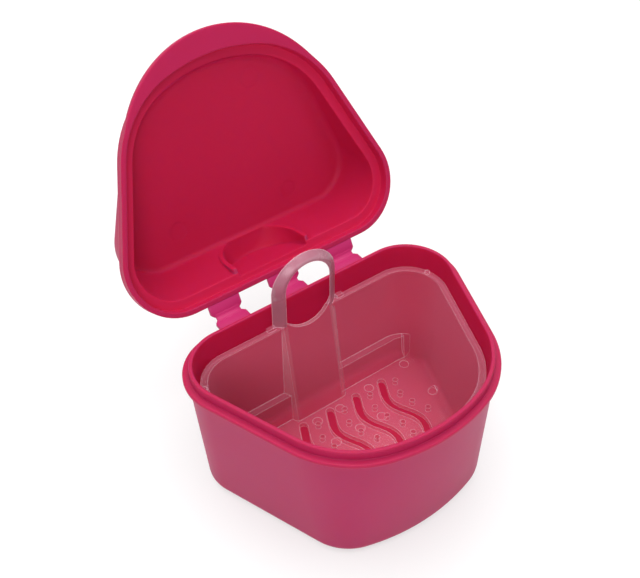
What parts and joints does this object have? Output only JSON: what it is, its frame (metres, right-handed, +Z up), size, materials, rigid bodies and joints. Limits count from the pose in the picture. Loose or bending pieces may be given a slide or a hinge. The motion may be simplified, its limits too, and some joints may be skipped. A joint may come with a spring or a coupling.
{
  "type": "denture case",
  "caption": "Rounded trapezoid denture soaking case with a film-hinged domed lid and a translucent lift-out rinsing basket with a loop handle and wavy drain slots.",
  "frame": {"origin": "on the underside of the tub, midway between the front and the back of its rim bead, on the left-right centre line", "axes": "+Z up out of the tub, +Y towards the hinge at the back, +X to the right seen from the front"},
  "size_m": [0.09, 0.1087, 0.1099],
  "materials": {
    "pink_plastic": "satin outside, glossy inside",
    "hinge_film": "satin, thin and slightly translucent",
    "clear_plastic": "glossy, translucent"
  },
  "bodies": {
    "tub": {"tub": "pink_plastic", "hinge_film_left": "hinge_film", "hinge_film_middle": "hinge_film", "hinge_film_right": "hinge_film"},
    "lid": {"lid": "pink_plastic"},
    "basket": {"basket": "clear_plastic", "basket_handle": "clear_plastic"}
  },
  "joints": [
    {"name": "lid_hinge", "type": "hinge", "parent": "tub", "child": "lid", "pos_m": [0, 0.0377, 0.04235], "axis": [-1, 0, 0], "range_deg": [-118, 62]},
    {"name": "basket_lift", "type": "slide", "parent": "tub", "child": "basket", "axis": [0, 0, 1], "range_m": [0, 0.065]}
  ]
}
